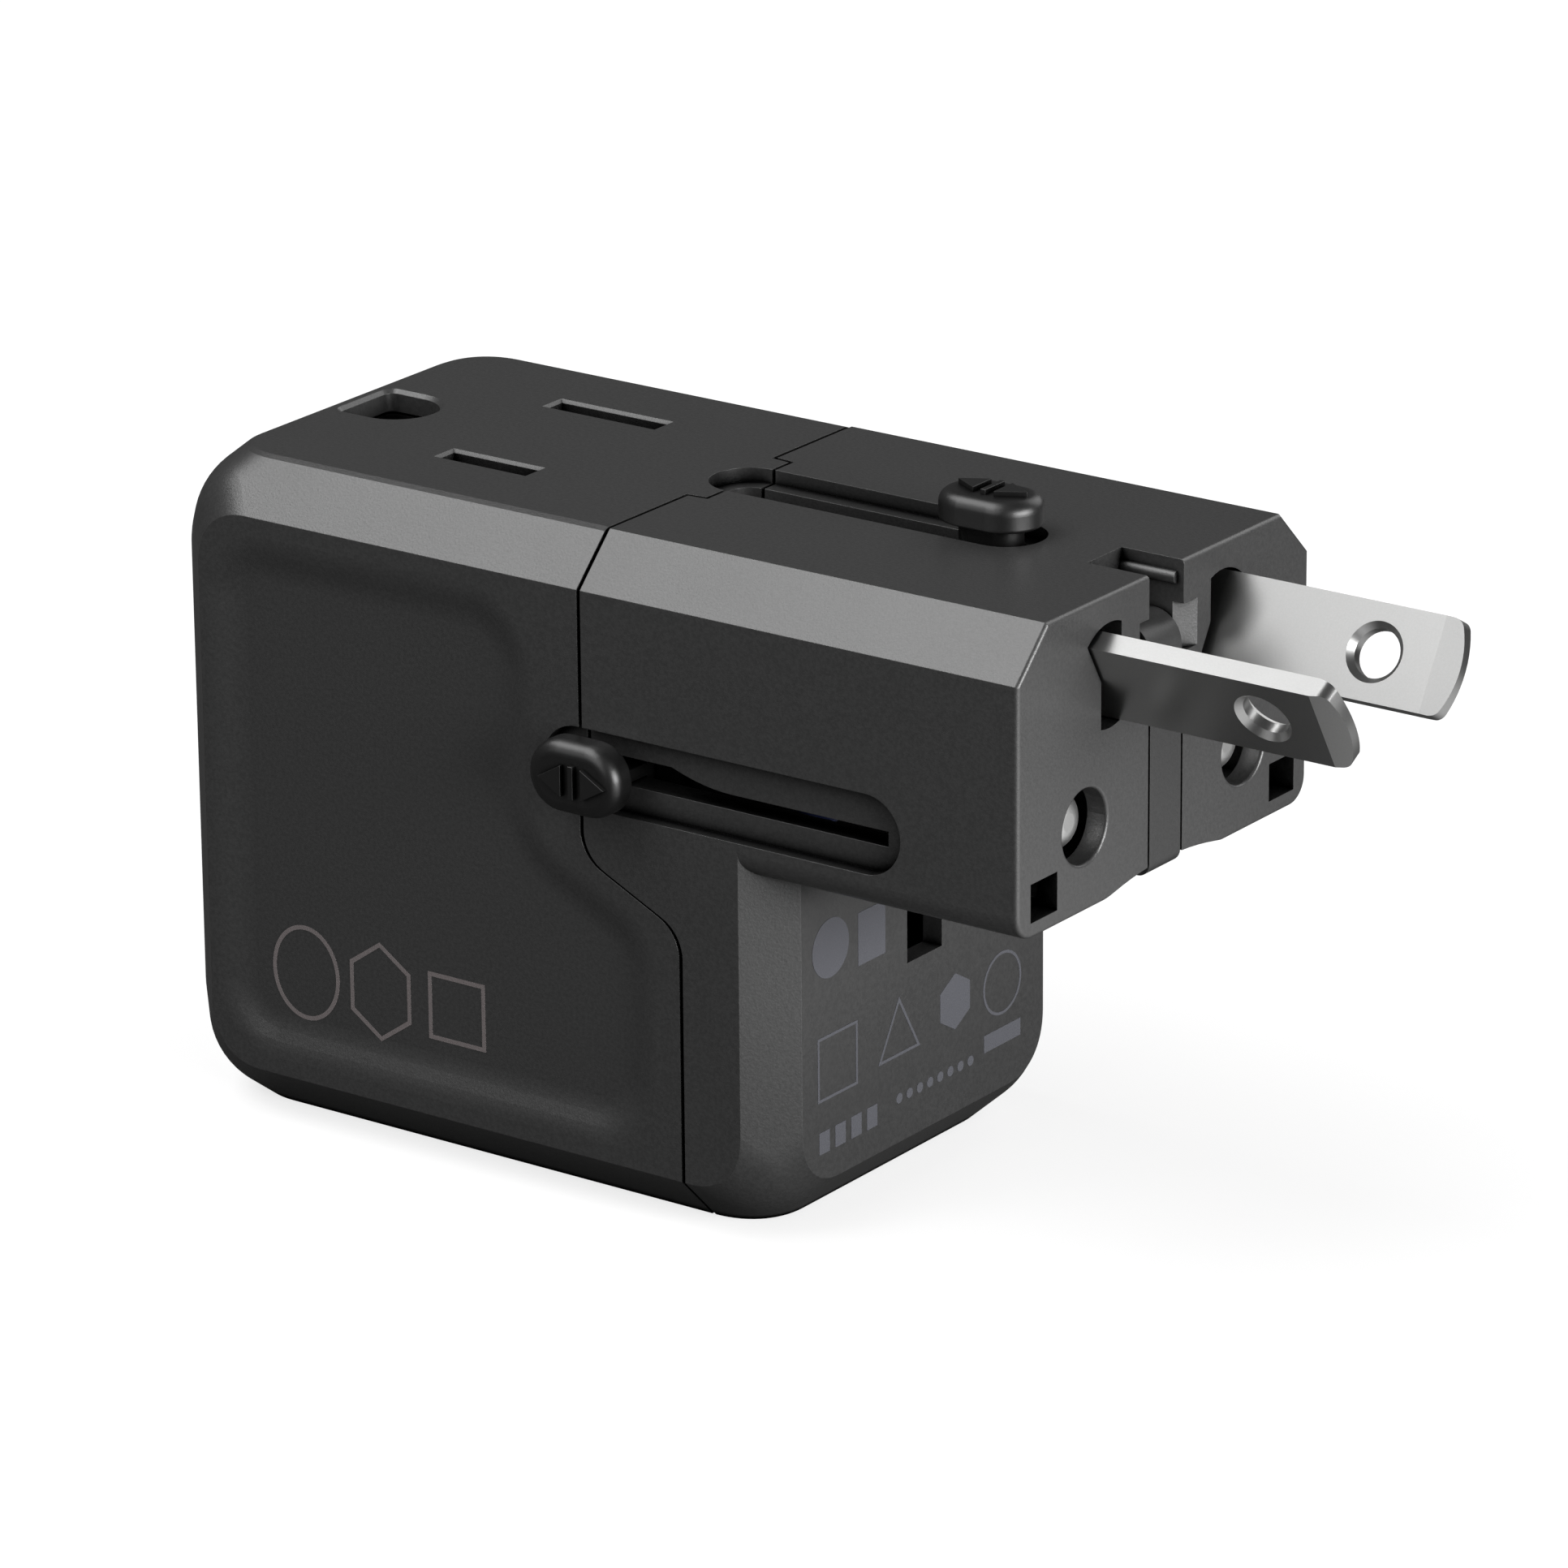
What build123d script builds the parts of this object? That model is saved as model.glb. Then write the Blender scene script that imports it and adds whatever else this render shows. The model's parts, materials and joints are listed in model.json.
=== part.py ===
from build123d import *
import os
from math import cos, radians, sin, sqrt, tan

# Universal travel adapter with sliding plugs and a built-in charger, in millimetres.
# X runs from the charger end to the plug end, Y across the body, Z upwards.
# The origin is on the flat bottom, under the parting line of the two casings.

# ---- driving dimensions: body ----
WIDTH = 32.8
HEIGHT = 44.87
CHARGER_END = -34.3
FOOT_END = 15.0
PLUG_END = 33.4
PLUG_FLOOR = 24.87
CHAMFER = 3.25
FOOT_CHAMFER = 2.83
CORNER_RADIUS = 5.7
UNDERSIDE_RADIUS = 1.7
END_RADIUS = 0.3
WALL = 1.5
SIDE = WIDTH / 2
BEYOND = 2.0  # how far cutting shapes run past a surface

# ---- driving dimensions: parting line ----
PARTING_TOP = -0.05
PARTING_FOOT = 7.65
PARTING_BEND_HIGH = 23.9
PARTING_BEND_LOW = 20.2
PARTING_RADIUS = 2.8
PARTING_GAP = 0.28
TAB_END = 1.4
TAB_HALF = 4.6
TAB_FLARE = 0.35
LIP_LENGTH = 2.0
LIP_DEPTH = 1.0
LIP_PLAY = 0.08
LIP_CLEAR = 1.2  # room that the lip leaves round the sliding carriages

# ---- driving dimensions: slider grooves ----
GROOVE_DEPTH = 0.95
GROOVE_RADIUS = 2.65
US_GROOVE = (1.41, 21.33)
US_SLOT_RADIUS = 1.45
US_RAIL_BOTTOM = 42.4
EU_GROOVE = (-0.35, 22.0)
EU_GROOVE_Z = 29.85
EU_SLOT = (-1.5, 23.1)
EU_SLOT_LOW = 28.95
EU_SLOT_HIGH = 29.95
EU_SLOT_WIDE = 30.85
EU_SLOT_NARROWS = (6.4, 11.2)
EU_RAIL_FACE = 13.5
US_RAIL_X = (-3.0, 27.0)
EU_RAIL_X = (-3.4, 26.0)
RAIL_HALF = 3.5

# ---- driving dimensions: knobs ----
KNOB_LENGTH = 7.1
KNOB_WIDTH = 4.85
KNOB_THICK = 2.0
KNOB_PROUD = 2.7
KNOB_EDGE = 0.9
KNOB_UNDER_EDGE = 0.25
US_KNOB_X = 20.2
US_NECK = (4.5, 2.6)
US_STEM_END = 39.4
US_SPRING_SEAT = 37.4
EU_KNOB_X = 1.08
EU_KNOB_Z = 29.9
EU_NECK = (3.7, 0.84)
EU_STEM = (3.7, 2.7)
EU_STEM_END = 10.2
EU_SPRING_SEAT = 8.2
POCKET_PLAY = 0.1
SPRING_RADIUS = 1.0
SPRING_WIRE = 0.16

# ---- driving dimensions: US and AU blades ----
BLADE_Y = 6.36
BLADE_Z = 39.63
BLADE_WIDTH = 6.35
BLADE_THICK = 1.5
BLADE_ROOT = 21.0
BLADE_TIP = 51.05
BLADE_TIP_ARC = 50.3
BLADE_BEVEL_X = 49.3
BLADE_BEVEL_SLOPE = 0.22
BLADE_HOLE_X = 45.06
BLADE_HOLE_RADIUS = 1.6
BLADE_HOLE_BEVEL = 0.4
BLADE_TIP_CORNER = 0.8
BLADE_TILT = 30
BLADE_SWEEP_RADIUS = 3.45
BLADE_SLOT_OUTER = 0.9
BLADE_SLOT_INNER = 1.34
HOLDER_RADIUS = 3.5
HOLDER = (18.65, 26.55)
HOLDER_PLAY = 0.03
US_CARRIAGE = (16.2, 27.3)
US_CARRIAGE_HALF = 10.2
US_CARRIAGE_Z = (35.3, 42.2)

# ---- driving dimensions: EU pins ----
EU_PIN_Y = 8.98
EU_PIN_Z = 30.47
EU_PIN_RADIUS = 2.0
EU_PIN_ROOT = 6.5
EU_PIN_TIP = 32.2
EU_PIN_DOME = 1.4
EU_HOLE_RADIUS = 2.45
EU_CARRIAGE = (-2.4, 4.9, 11.0)
EU_CARRIAGE_HALF = 12.6
EU_ARM = (6.2, 11.7)
EU_CARRIAGE_Z = (27.4, 33.4)

# ---- driving dimensions: earth tongue and end face ----
NOTCH_HALF = 1.95
NOTCH_BACK = 28.75
NOTCH_WALL = 0.8
TONGUE_HALF = 1.75
TONGUE_HEAD = 2.1
TONGUE_PIVOT = (31.3, 39.4)
TONGUE_PIN_RADIUS = 0.75
TONGUE_TOE = 0.9
PIN_PLAY = 0.03
GRIP_DEPTH = 0.9  # finger recesses beside the tongue
GRIP_NARROW = 3.0
GRIP_NARROW_Z = (40.3, 42.05)
GRIP_WIDE = 3.5
GRIP_WIDE_Z = (38.9, 42.0)
STOP_BEAD_Z = 43.65
STOP_BEAD_RADIUS = 0.42
EU_HOLE_SOFT = 0.2
SOCKET_HOLE_Y = 13.49
SOCKET_HOLE_Z = 27.18
SOCKET_HOLE = (2.92, 2.54)
RELIEF_RADIUS = 29.0
RELIEF_RISE = 0.85
FOOT_SLOT_Z = (15.3, 23.4)

# ---- driving dimensions: outlet ----
OUTLET_Y = 6.37
FRONT_SLOT = (-18.25, -11.2)
BACK_SLOT = (-19.15, -10.35)
SLOT_WIDTH = 1.7
SLOT_BEVEL = 0.22
EARTH_X = -27.3
EARTH_RADIUS = 2.8
EARTH_BEVEL = 0.26
EARTH_FLOOR = 28.0
FRAME_X = (-32.2, -8.2)
FRAME_HALF = 10.4
FRAME_Z = (26.1, 43.2)
FRAME_CORNER = 2.0
CHAMBER_X = (-20.2, -9.6)
CHAMBER_HALF = 2.2
CHAMBER_FLOOR = 28.7
SHUTTER_X = (-20.6, -9.3)
SHUTTER_HALF = 8.0
SHUTTER_Z = (41.7, 42.9)
SHUTTER_TRAVEL = 3.0
SHUTTER_SPRING_END = 5.6
SHUTTER_SPRING_RADIUS = 0.42
SHUTTER_SPRING_WIRE = 0.09
RAIL_Y = (10.9, 11.4)
RAIL_X = (-7.1, 25.0)
RAIL_Z = (35.6, 41.4)
RAIL_POSTS = (4.0, 22.0)
CONTACT_THICK = 0.4
CONTACT_JAW = 1.45
CONTACT_RISER = (-7.6, -7.1)
JAW_TOP = 40.5
BRUSH_THICK = 0.3
BRUSH_GAP = 0.05
US_BRUSH_X = (17.0, 26.0)
US_BRUSH_Z = (37.6, 40.4)
EU_BRUSH_X = (0.0, 4.0)
EU_BRUSH_Y = (9.6, 12.2)

# ---- driving dimensions: charger ----
BOARD_X = (-32.0, 8.5)
BOARD_HALF = 13.2
BOARD_Z = 9.6
BOARD_THICK = 1.6
BOARD_TOP = BOARD_Z + BOARD_THICK
PLATE_X = (-31.6, 5.5)
PLATE_HALF = 13.6
PLATE_THICK = 0.8
POSTS = [(-20.0, -11.0), (-20.0, 11.0), (4.5, -11.0), (4.5, 11.0)]
POST_RADIUS = 2.2
SCREW_RADIUS = 1.0
SCREW_HEAD_RADIUS = 1.9
SCREW_HEAD_HEIGHT = 1.1
SCREW_LENGTH = 6.0
SCREW_CROSS = (2.2, 0.5)
CORE_X = -8.0
CORE_Z = 17.6
CORE_SIZE = (14.0, 11.5)
CORE_WINDOW_X = 3.8
CORE_WINDOW = (3.4, 8.2)
CORE_HALF = 3.5
MAINS_CAPACITORS = [(4.0, -4.3), (4.0, 4.3)]
MAINS_CAPACITOR = (3.8, 12.5)
OUTPUT_CAPACITOR_AT = (-19.8, 3.6)
OUTPUT_CAPACITOR = (3.1, 9.0)
CAPACITOR_EDGE = 0.45
CHOKE_AT = (-19.8, -4.2)
CHOKE_RADIUS = 3.1
CHOKE_WAIST = 2.3
CHOKE_HEIGHT = 6.0
CHOKE_FLANGE = 1.1
RECTIFIER_X = (-10.5, -5.5)
RECTIFIER_Y = (-12.6, -8.6)
RECTIFIER_HEIGHT = 2.4
LEAD_WIDTH = 0.7
LEAD_REACH = 0.5
LEAD_HEIGHT = 0.9
CLIP_HALF = 2.1
CLIP_WIDTH = 2.0
FUSE_X = (-15.0, -1.0)
FUSE_Y = 10.2
FUSE_Z = 13.6
FUSE_RADIUS = 1.6
USB_A_Y = 5.6
USB_A_SIZE = (13.1, 5.7)
USB_C_Y = -7.2
USB_C_SIZE = (8.94, 3.26)
USB_FACE = -34.0
USB_A_BACK = -24.0
USB_C_DEPTH = 7.4
USB_SHEET = 0.3
PANEL_X = (-30.0, -4.35, 5.1)
PANEL_Z = (4.97, 39.85)
PANEL_BEND = (19.55, 24.1)
PANEL_CUT = 2.95
PANEL_DEPTH = 0.55
PANEL_TAPER = 74
PANEL_CORNER = 4.4
PANEL_SOFT = 4.0
USB_C_Z = BOARD_TOP + USB_C_SIZE[1] / 2
USB_A_Z = BOARD_TOP + USB_A_SIZE[1] / 2

CHARGER_FACE = Plane(origin=(CHARGER_END, 0, 0), x_dir=(0, -1, 0), z_dir=(-1, 0, 0))
FRONT_FACE = Plane.XZ.offset(SIDE)
BACK_FACE = Plane.XZ.offset(-SIDE)

os.makedirs("parts", exist_ok=True)


def finish(piece, name):
    """Label a finished sub-part and write it."""
    piece.part.label = name
    export_step(piece.part, f"parts/{name}.step")


def span_box(xs, ys, zs, mode=Mode.ADD):
    """A box between two corners, for the block that is being built."""
    centre = ((xs[0] + xs[1]) / 2, (ys[0] + ys[1]) / 2, (zs[0] + zs[1]) / 2)
    with Locations(centre):
        Box(abs(xs[1] - xs[0]), abs(ys[1] - ys[0]), abs(zs[1] - zs[0]), mode=mode)


def body_block(inset):
    """Solid block of the body, moved inwards by inset: a chamfered block whose head overhangs its foot."""
    shrink = inset * (2 - sqrt(2))
    broad, narrow = CHAMFER - shrink, FOOT_CHAMFER - shrink
    left, right, foot = CHARGER_END + inset, PLUG_END - inset, FOOT_END - inset
    low, high, step, side = inset, HEIGHT - inset, PLUG_FLOOR + inset, SIDE - inset
    with BuildPart() as block:
        with BuildSketch(Plane.XZ):
            Polygon(
                (left + broad, low), (foot - broad, low), (foot, low + broad), (foot, step), (right, step),
                (right, high), (left + broad, high), (left, high - broad), (left, low + broad),
                align=None,
            )
        extrude(amount=side, both=True)
        with BuildSketch(Plane.YZ.offset(left)):
            with Locations((0, (low + high) / 2)):
                section = Rectangle(2 * side, high - low)
            chamfer(section.vertices(), broad)
        extrude(amount=right - left, mode=Mode.INTERSECT)
        with BuildSketch(Plane.XY.offset(low)):
            Polygon(
                (left + broad, -side), (right, -side), (right, side), (left + broad, side),
                (left, side - broad), (left, broad - side),
                align=None,
            )
        extrude(amount=high - low, mode=Mode.INTERSECT)
        with BuildSketch(Plane.XY.offset(low)):
            for way in (-1, 1):
                Polygon(
                    (foot - narrow, way * side), (foot + 1, way * (side - narrow - 1)),
                    (foot + 1, way * (side + 1)), (foot - narrow, way * (side + 1)),
                    align=None,
                )
        extrude(amount=step - low, mode=Mode.SUBTRACT)
    return block.part


def past_parting(shift):
    """Everything on the plug side of the parting line, which is moved along X by shift."""
    top, foot, far = PARTING_TOP + shift, PARTING_FOOT + shift, PLUG_END + BEYOND
    high, low = HEIGHT + BEYOND, -BEYOND
    with BuildPart() as region:
        with BuildSketch(Plane.XZ):
            with BuildLine():
                FilletPolyline(
                    (top, high), (top, PARTING_BEND_HIGH), (foot, PARTING_BEND_LOW), (foot, low),
                    radius=PARTING_RADIUS,
                )
                Polyline((foot, low), (far, low), (far, high), (top, high))
            make_face()
        extrude(amount=SIDE + BEYOND, both=True)
    return region.part


def plug_region(shift):
    """The plug casing's share of the walls: past the parting line, less the tab at the groove on top."""
    reach, half = TAB_END + shift, TAB_HALF + shift
    with BuildPart() as region:
        add(past_parting(shift))
        with BuildSketch(Plane.XY.offset(US_RAIL_BOTTOM - 0.5)):
            Polygon(
                (-BEYOND, -half - TAB_FLARE), (reach, -half), (reach, half), (-BEYOND, half + TAB_FLARE),
                align=None,
            )
        extrude(amount=HEIGHT, mode=Mode.SUBTRACT)
    return region.part


def band_lip(outer_inset, inner_inset, start, end):
    """A thin ring inside the walls that follows the parting line from start to end."""
    with BuildPart() as ring:
        add(body_block(outer_inset))
        add(body_block(inner_inset), mode=Mode.SUBTRACT)
        add(past_parting(start), mode=Mode.INTERSECT)
        add(past_parting(end), mode=Mode.SUBTRACT)
        reach, half = 2 * LIP_LENGTH, US_CARRIAGE_HALF + LIP_CLEAR
        low, high = EU_CARRIAGE_Z[0] - LIP_CLEAR, EU_CARRIAGE_Z[1] + LIP_CLEAR
        span_box((-reach, reach), (-half, half), (US_RAIL_BOTTOM - LIP_CLEAR, HEIGHT), mode=Mode.SUBTRACT)
        span_box((-reach, reach), (-SIDE, 0), (low, high), mode=Mode.SUBTRACT)
    return ring.part


def side_panel(face):
    """Outline of the shallow panel on a broad side of the charger casing, following the parting line."""
    with BuildSketch(face) as outline:
        left, waist, right = PANEL_X
        low, high = PANEL_Z
        Polygon(
            (left, low), (right, low), (right, PANEL_BEND[0]), (waist, PANEL_BEND[1]),
            (waist, high - PANEL_CUT), (waist - PANEL_CUT, high), (left, high),
            align=None,
        )
        fillet(outline.vertices(), PANEL_CORNER)
    return outline.sketch


def groove_outline(centres):
    """Round-ended groove of a slider, centred between the two end centres."""
    SlotCenterToCenter(centres[1] - centres[0], 2 * GROOVE_RADIUS)


def spring(seat, length, radius, wire, name):
    """Coil spring that stands on a plane."""
    turns_high = length - 2 * wire
    with BuildPart() as coil:
        with BuildLine():
            line = Helix(
                pitch=max(turns_high / 4, 3 * wire), height=turns_high, radius=radius,
                center=seat.origin, direction=seat.z_dir,
            )
        with BuildSketch(Plane(origin=line @ 0, z_dir=line % 0)):
            Circle(wire)
        sweep(is_frenet=True)
    finish(coil, name)


# ---- walls shared by the two casings, before they are parted ----
with BuildPart() as walls:
    add(body_block(0))
    slants = walls.edges().filter_by(lambda e: e.length < CHAMFER)
    for axis in (Axis.X, Axis.Y, Axis.Z):
        slants = slants.filter_by(lambda e: abs(e.tangent_at(0.5).dot(axis.direction)) > 0.3)
    fillet(slants, CORNER_RADIUS)
    under = walls.edges().filter_by(Axis.X).filter_by_position(Axis.Z, PLUG_FLOOR - 0.1, PLUG_FLOOR + 0.1)
    fillet(under, UNDERSIDE_RADIUS)
    fillet(walls.faces().sort_by(Axis.X)[-1].edges(), END_RADIUS)
    for face, depth in ((FRONT_FACE, -PANEL_DEPTH), (BACK_FACE, PANEL_DEPTH)):
        extrude(side_panel(face), amount=depth, taper=PANEL_TAPER, mode=Mode.SUBTRACT)
        fillet(walls.edges(Select.LAST).filter_by(lambda e: e.bounding_box().size.Y < 0.01), PANEL_SOFT)
    add(body_block(WALL), mode=Mode.SUBTRACT)
    span_box(US_RAIL_X, (-RAIL_HALF, RAIL_HALF), (US_RAIL_BOTTOM, HEIGHT - 0.5))
    span_box(EU_RAIL_X, (-SIDE + 0.5, -EU_RAIL_FACE), (EU_GROOVE_Z - RAIL_HALF, EU_GROOVE_Z + RAIL_HALF))
    with BuildSketch(Plane.XY.offset(HEIGHT)):
        with Locations((sum(US_GROOVE) / 2, 0)):
            groove_outline(US_GROOVE)
    extrude(amount=-GROOVE_DEPTH, mode=Mode.SUBTRACT)
    with BuildSketch(Plane.XY.offset(HEIGHT)):
        with Locations((sum(US_GROOVE) / 2, 0)):
            SlotCenterToCenter(US_GROOVE[1] - US_GROOVE[0], 2 * US_SLOT_RADIUS)
    extrude(amount=-4, mode=Mode.SUBTRACT)
    with BuildSketch(FRONT_FACE):
        with Locations((sum(EU_GROOVE) / 2, EU_GROOVE_Z)):
            groove_outline(EU_GROOVE)
    extrude(amount=-GROOVE_DEPTH, mode=Mode.SUBTRACT)
    with BuildSketch(FRONT_FACE):
        with BuildLine():
            Polyline(
                (EU_SLOT_NARROWS[0], EU_SLOT_WIDE), (EU_SLOT[0], EU_SLOT_WIDE), (EU_SLOT[0], EU_SLOT_LOW),
                (EU_SLOT[1], EU_SLOT_LOW), (EU_SLOT[1], EU_SLOT_HIGH), (EU_SLOT_NARROWS[1], EU_SLOT_HIGH),
            )
            Spline(
                (EU_SLOT_NARROWS[1], EU_SLOT_HIGH), (EU_SLOT_NARROWS[0], EU_SLOT_WIDE),
                tangents=((-1, 0), (-1, 0.35)),
            )
        make_face()
    extrude(amount=-4, mode=Mode.SUBTRACT)

# ---- socket casing: charger side, with the outlet on top and the USB ports on its end ----
with BuildPart() as socket_casing:
    add(walls.part)
    add(plug_region(-PARTING_GAP / 2), mode=Mode.SUBTRACT)
    add(band_lip(WALL - 0.3, WALL + LIP_DEPTH, -LIP_LENGTH, -PARTING_GAP / 2))
    add(band_lip(WALL + LIP_PLAY, WALL + LIP_DEPTH, -PARTING_GAP / 2 - 0.01, LIP_LENGTH))
    with BuildSketch(Plane.XY.offset(HEIGHT)):
        for ends, y in ((FRONT_SLOT, -OUTLET_Y), (BACK_SLOT, OUTLET_Y)):
            with Locations((sum(ends) / 2, y)):
                Rectangle(ends[1] - ends[0], SLOT_WIDTH)
        with BuildLine():
            ThreePointArc((EARTH_X, -EARTH_RADIUS), (EARTH_X + EARTH_RADIUS, 0), (EARTH_X, EARTH_RADIUS))
            FilletPolyline(
                (EARTH_X, EARTH_RADIUS), (EARTH_X - EARTH_RADIUS, EARTH_RADIUS),
                (EARTH_X - EARTH_RADIUS, -EARTH_RADIUS), (EARTH_X, -EARTH_RADIUS),
                radius=0.6,
            )
        make_face()
    extrude(amount=-WALL - 0.5, mode=Mode.SUBTRACT)
    rims = socket_casing.edges().group_by(Axis.Z)[-1].filter_by_position(Axis.X, -31, -9)
    rims = rims.filter_by_position(Axis.Y, -10, 10)
    earth_rim = rims.filter_by_position(Axis.X, -31, -24)
    chamfer(rims - earth_rim, SLOT_BEVEL)
    chamfer(socket_casing.edges().group_by(Axis.Z)[-1].filter_by_position(Axis.X, -30.5, -24), EARTH_BEVEL)
    with BuildSketch(CHARGER_FACE):
        with Locations((-USB_A_Y, USB_A_Z)):
            RectangleRounded(USB_A_SIZE[0] + 0.6, USB_A_SIZE[1] + 0.6, 0.5)
        with Locations((-USB_C_Y, USB_C_Z)):
            SlotOverall(USB_C_SIZE[0] + 0.6, USB_C_SIZE[1] + 0.6)
    extrude(amount=-WALL - 0.5, mode=Mode.SUBTRACT)
    with BuildSketch(Plane.XY.offset(WALL - 0.2)):
        with Locations(*POSTS):
            Circle(POST_RADIUS)
    extrude(amount=BOARD_Z - WALL + 0.2)
    with BuildSketch(Plane.XY.offset(BOARD_TOP)):
        with Locations(*POSTS):
            Circle(SCREW_RADIUS)
    extrude(amount=-SCREW_LENGTH, mode=Mode.SUBTRACT)
finish(socket_casing, "socket_casing")

# ---- plug casing: plug head and the end of the foot, with every opening for the plugs ----
with BuildPart() as plug_casing:
    add(walls.part)
    add(plug_region(PARTING_GAP / 2), mode=Mode.INTERSECT)
    span_box((NOTCH_BACK - NOTCH_WALL, PLUG_END - WALL), (-NOTCH_HALF - NOTCH_WALL, NOTCH_HALF + NOTCH_WALL),
             (PLUG_FLOOR + 0.5, HEIGHT - 0.5))
    for way in (-1, 1):
        for start in RAIL_POSTS:
            span_box((start, start + WALL), (way * RAIL_Y[1], way * (SIDE - 1)),
                     (RAIL_Z[0] + 0.4, RAIL_Z[1] - 0.4))
    with BuildSketch(Plane.YZ.offset(PLUG_END)):
        tilt = radians(BLADE_TILT)
        for way in (-1, 1):
            with BuildSketch(mode=Mode.PRIVATE) as sweep_area:
                far = 2 * BLADE_SWEEP_RADIUS
                outer, inner = BLADE_SLOT_OUTER, -BLADE_SLOT_INNER
                Polygon(
                    (way * inner, far),
                    (way * (outer * cos(tilt) + far * sin(tilt)), far * cos(tilt) - outer * sin(tilt)),
                    (way * outer, -outer * tan(tilt / 2)),
                    (way * outer, -far),
                    (way * (inner * cos(tilt) - far * sin(tilt)), -far * cos(tilt) - inner * sin(tilt)),
                    (way * inner, -inner * tan(tilt / 2)),
                    align=None,
                )
                Circle(BLADE_SWEEP_RADIUS, mode=Mode.INTERSECT)
            with Locations((way * BLADE_Y, BLADE_Z)):
                add(sweep_area.sketch)
        with Locations((-EU_PIN_Y, EU_PIN_Z), (EU_PIN_Y, EU_PIN_Z)):
            Circle(EU_HOLE_RADIUS)
        with Locations((-SOCKET_HOLE_Y, SOCKET_HOLE_Z), (SOCKET_HOLE_Y, SOCKET_HOLE_Z)):
            Rectangle(*SOCKET_HOLE)
    extrude(amount=-WALL - 0.5, mode=Mode.SUBTRACT)
    mouths = plug_casing.faces().sort_by(Axis.X)[-1].edges().filter_by(GeomType.CIRCLE)
    fillet(mouths.filter_by(lambda e: abs(e.radius - EU_HOLE_RADIUS) < 0.01), EU_HOLE_SOFT)
    span_box((NOTCH_BACK, PLUG_END + 1), (-NOTCH_HALF, NOTCH_HALF), (PLUG_FLOOR - 1, HEIGHT + 1),
             mode=Mode.SUBTRACT)
    grip_x = PLUG_END - GRIP_DEPTH
    span_box((grip_x, PLUG_END + 1), (-GRIP_NARROW, -NOTCH_HALF + 0.1), GRIP_NARROW_Z, mode=Mode.SUBTRACT)
    with BuildSketch(Plane.XY.offset(GRIP_WIDE_Z[0])):
        Polygon(
            (grip_x, NOTCH_HALF - 0.1), (PLUG_END, GRIP_WIDE), (PLUG_END + 1, GRIP_WIDE),
            (PLUG_END + 1, NOTCH_HALF - 0.1),
            align=None,
        )
    extrude(amount=GRIP_WIDE_Z[1] - GRIP_WIDE_Z[0], mode=Mode.SUBTRACT)
    with BuildSketch(Plane.YZ.offset(FOOT_END)):
        with Locations((0, PLUG_FLOOR + RELIEF_RISE - RELIEF_RADIUS)):
            Circle(RELIEF_RADIUS)
    extrude(amount=PLUG_END, mode=Mode.SUBTRACT)
    span_box((FOOT_END - WALL - 0.5, FOOT_END + 1), (-NOTCH_HALF, NOTCH_HALF), FOOT_SLOT_Z,
             mode=Mode.SUBTRACT)
    with BuildSketch(Plane.YZ.offset(NOTCH_BACK)):
        with Locations((NOTCH_HALF, STOP_BEAD_Z)):
            Circle(STOP_BEAD_RADIUS)
    extrude(amount=PLUG_END - NOTCH_BACK - 0.5)
    with BuildSketch(Plane.XZ):
        with Locations(TONGUE_PIVOT):
            Circle(TONGUE_PIN_RADIUS)
    extrude(amount=NOTCH_HALF + NOTCH_WALL, both=True, mode=Mode.SUBTRACT)
finish(plug_casing, "plug_casing")

# ---- outlet: insulating frame, shutter, contacts and the rails they feed ----
with BuildPart() as socket_frame:
    span_box(FRAME_X, (-FRAME_HALF, FRAME_HALF), FRAME_Z)
    chamfer(socket_frame.edges().group_by(Axis.Z)[-1].sort_by(Axis.X)[0], FRAME_CORNER)
    with BuildSketch(Plane.XY.offset(FRAME_Z[1])):
        with BuildLine():
            ThreePointArc((EARTH_X, -EARTH_RADIUS), (EARTH_X + EARTH_RADIUS, 0), (EARTH_X, EARTH_RADIUS))
            FilletPolyline(
                (EARTH_X, EARTH_RADIUS), (EARTH_X - EARTH_RADIUS, EARTH_RADIUS),
                (EARTH_X - EARTH_RADIUS, -EARTH_RADIUS), (EARTH_X, -EARTH_RADIUS),
                radius=0.6,
            )
        make_face()
    extrude(amount=EARTH_FLOOR - FRAME_Z[1], mode=Mode.SUBTRACT)
    for way in (-1, 1):
        near, far = way * (OUTLET_Y - CHAMBER_HALF), way * (OUTLET_Y + CHAMBER_HALF)
        span_box(CHAMBER_X, (near, far), (CHAMBER_FLOOR, HEIGHT), mode=Mode.SUBTRACT)
        span_box((CHAMBER_X[1] - 1, 0), (near, far), (CHAMBER_FLOOR, SHUTTER_Z[0]), mode=Mode.SUBTRACT)
    reach = SHUTTER_HALF + SHUTTER_TRAVEL
    span_box((SHUTTER_X[0] - 0.2, SHUTTER_X[1] + 0.2), (-SHUTTER_HALF - 0.2, reach),
             (SHUTTER_Z[0] - 0.1, HEIGHT), mode=Mode.SUBTRACT)
    span_box((SHUTTER_X[0] - 2.6, SHUTTER_X[0]), (-2.0, SHUTTER_SPRING_END), (SHUTTER_Z[0] - 0.3, HEIGHT),
             mode=Mode.SUBTRACT)
finish(socket_frame, "socket_frame")

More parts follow.
